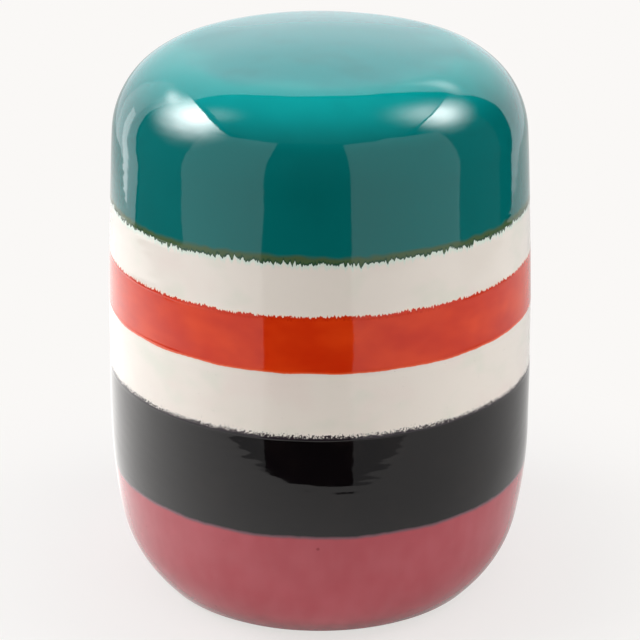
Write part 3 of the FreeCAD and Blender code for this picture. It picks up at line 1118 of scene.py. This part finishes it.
def white_to_orange(f, white, orange):
    """Fine saw teeth, edged with cream and pink, over a deeper red line."""
    wander = ORANGE_TOP - f.height + 1.6 * f.noise(30)
    rise = wander + 3.4 * (f.cells(560, 3.0) - 0.45) + 1.4 * f.noise(900)
    above = f.mix(f.step(rise, -1.5, -0.6), white, CREAM)
    above = f.mix(f.step(rise, -0.6, 0.0), above, PINK)
    below = f.mix(1.0 - f.step(rise, 0.8, 3.4), orange, ORANGE_RED)
    return f.mix(f.step(rise, -0.1, 0.3), above, below)


def orange_to_white(f, orange, white):
    """A nearly clean edge, with a brighter line where the glaze lies thin."""
    rise = f.height - ORANGE_BOTTOM + 1.5 * f.noise(45) + 0.5 * f.noise(300)
    below = f.mix(f.step(rise, -2.5, 0.0) * 0.4, white, BLUSH)
    above = f.mix(1.0 - f.step(rise, 0.6, 1.8), orange, ORANGE_LINE)
    return f.mix(f.step(rise, -0.25, 0.25), below, above)


def white_to_black(f, white, black):
    """Fine sprayed dots that thicken into the black."""
    wander = BLACK_TOP - f.height + 2.2 * f.noise(26)
    density = f.step(wander, -8.0, 0.4)
    dots = f.step(f.noise(880, 2.0) + density * density * 0.36, 0.24, 0.30)
    above = f.mix(dots, white, INK)
    below = f.mix(f.step(wander, 0.8, 2.4), INK, black)
    return f.mix(f.step(wander + 3.4 * f.noise(480, 2.0), -0.1, 0.5), above, below)


def black_to_rose(f, black, rose):
    """A soft dusky border, because the two glazes melted together."""
    rise = f.height - BLACK_BOTTOM + 2.2 * f.noise(28) + 1.2 * f.noise(150, 1.0)
    below = f.mix(f.step(rise, -3.0, -0.3), rose, DUSK)
    return f.mix(f.step(rise, -0.8, 1.6), below, black)


# %% [markdown]
# ## Shine and surface of the glaze
# Molten glass smooths itself, but slower than a mirror would need: it keeps a faint waviness like
# orange peel, and it stands a little proud where a coloured coat overlaps the white, which draws
# a fine bright line along the black. The bump carries both, up to a tenth of a millimetre high.

# %% Cover the coats
PEEL_MM = 0.075
RIDGE_MM = 0.11


def ridge(f, inwards):
    """The thick rim of a coat, from how far in from its edge a point lies, in millimetres."""
    inwards = inwards + 0.8 * f.noise(50)
    return RIDGE_MM * f.step(inwards, 0.4, 1.7) * (1.0 - f.step(inwards, 1.7, 3.2))


def glazed(f, base, relief=0.0):
    """Finish a tree as glass over a base colour."""
    peel = PEEL_MM * f.noise(60, 0.0, 0.3) + 0.08 * PEEL_MM * f.noise(420)
    rough = 0.045 + 0.03 * f.noise(60, 1.0)
    normal = f.bump(peel + relief)
    return f.cover(Base_Color=base, Roughness=rough, IOR=GLASS_IOR, Normal=normal)


def teal_finish():
    f = Finish("teal_glaze")
    rim = ridge(f, f.height - TEAL_EDGE)
    return glazed(f, teal_to_white(f, teal_body(f), white_body(f)), rim)


def upper_white_finish():
    f = Finish("upper_white_glaze")
    white = white_to_orange(f, white_body(f), orange_body(f))
    return glazed(f, teal_to_white(f, teal_body(f), white))


def orange_finish():
    f = Finish("orange_glaze")
    orange = orange_to_white(f, orange_body(f), white_body(f))
    rim = ridge(f, ORANGE_TOP - f.height) + ridge(f, f.height - ORANGE_BOTTOM)
    return glazed(f, white_to_orange(f, white_body(f), orange), rim)


def lower_white_finish():
    f = Finish("lower_white_glaze")
    white = white_to_black(f, white_body(f), black_body(f))
    return glazed(f, orange_to_white(f, orange_body(f), white))


def black_finish():
    f = Finish("black_glaze")
    black = black_to_rose(f, black_body(f), rose_body(f))
    rim = ridge(f, BLACK_TOP - f.height)
    return glazed(f, white_to_black(f, white_body(f), black), rim)


def rose_finish():
    f = Finish("rose_glaze")
    return glazed(f, black_to_rose(f, black_body(f), rose_body(f)))


FINISHES = {
    "teal_glaze": teal_finish,
    "upper_white_glaze": upper_white_finish,
    "orange_glaze": orange_finish,
    "lower_white_glaze": lower_white_finish,
    "black_glaze": black_finish,
    "rose_glaze": rose_finish,
}
for node, make_finish in FINISHES.items():
    coats[node].data.materials.clear()
    coats[node].data.materials.append(make_finish())
print("covered", len(FINISHES), "coats")

# %% [markdown]
# ## Bare clay and felt
# Stoneware that was never glazed is dull and sandy, with darker grains of grog in it. Next to the
# glaze it is toasted by the flame, so a thin warm line runs round the foot. The same clay covers
# the sections inside, which stay as the model has them, because only the vent shows them.

# %% Cover the base, the sections inside and the pads
CLAY = (0.56, 0.46, 0.36, 1)
CLAY_DUSTY = (0.64, 0.56, 0.47, 1)
CLAY_TOAST = (0.34, 0.17, 0.085, 1)
GROG = (0.20, 0.15, 0.115, 1)
FELT = (0.075, 0.068, 0.062, 1)
FELT_PALE = (0.15, 0.14, 0.13, 1)


def clay_finish(name):
    """Sandy clay with dark grains, toasted in a line beside the glaze."""
    f = Finish(name)
    body = f.mix(f.step(f.noise(24, 3.0), -0.25, 0.25), CLAY, CLAY_DUSTY)
    toast = f.step(f.height + 2.5 * f.noise(60, 1.0), 3.2, 5.4) * 0.8
    toast = toast * (1.0 - f.step(f.height, 6.0, 7.5))
    body = f.mix(toast, body, CLAY_TOAST)
    grains = f.node("ShaderNodeTexVoronoi", {}, {"Vector": f.place, "Scale": 420.0}, "Distance")
    grain = 1.0 - f.step(grains + 0.5 * f.noise(160), 0.10, 0.20)
    body = f.mix(grain, body, GROG)
    relief = 0.10 * f.noise(900, 2.0) - 0.06 * grain
    return f.cover(Base_Color=body, Roughness=0.88, Normal=f.bump(relief))


def felt_finish():
    """Dull grey fibres."""
    f = Finish("pad_felt")
    fibres = f.noise(2600, 2.0) + f.noise(900, 1.0)
    tint = f.mix(f.step(fibres, -0.3, 0.5), FELT, FELT_PALE)
    return f.cover(Base_Color=tint, Roughness=1.0, Normal=f.bump(0.25 * fibres))


clay = clay_finish("bare_clay")
felt = felt_finish()
inside = [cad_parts[node] for node in ("seat_dome", "drum_wall")]
for piece in [base, *inside]:
    piece.data.materials.clear()
    piece.data.materials.append(clay)
for pad in pads:
    pad.data.materials.clear()
    pad.data.materials.append(felt)
print("clay on", base.name, "and", len(inside), "sections inside; felt on", len(pads), "pads")
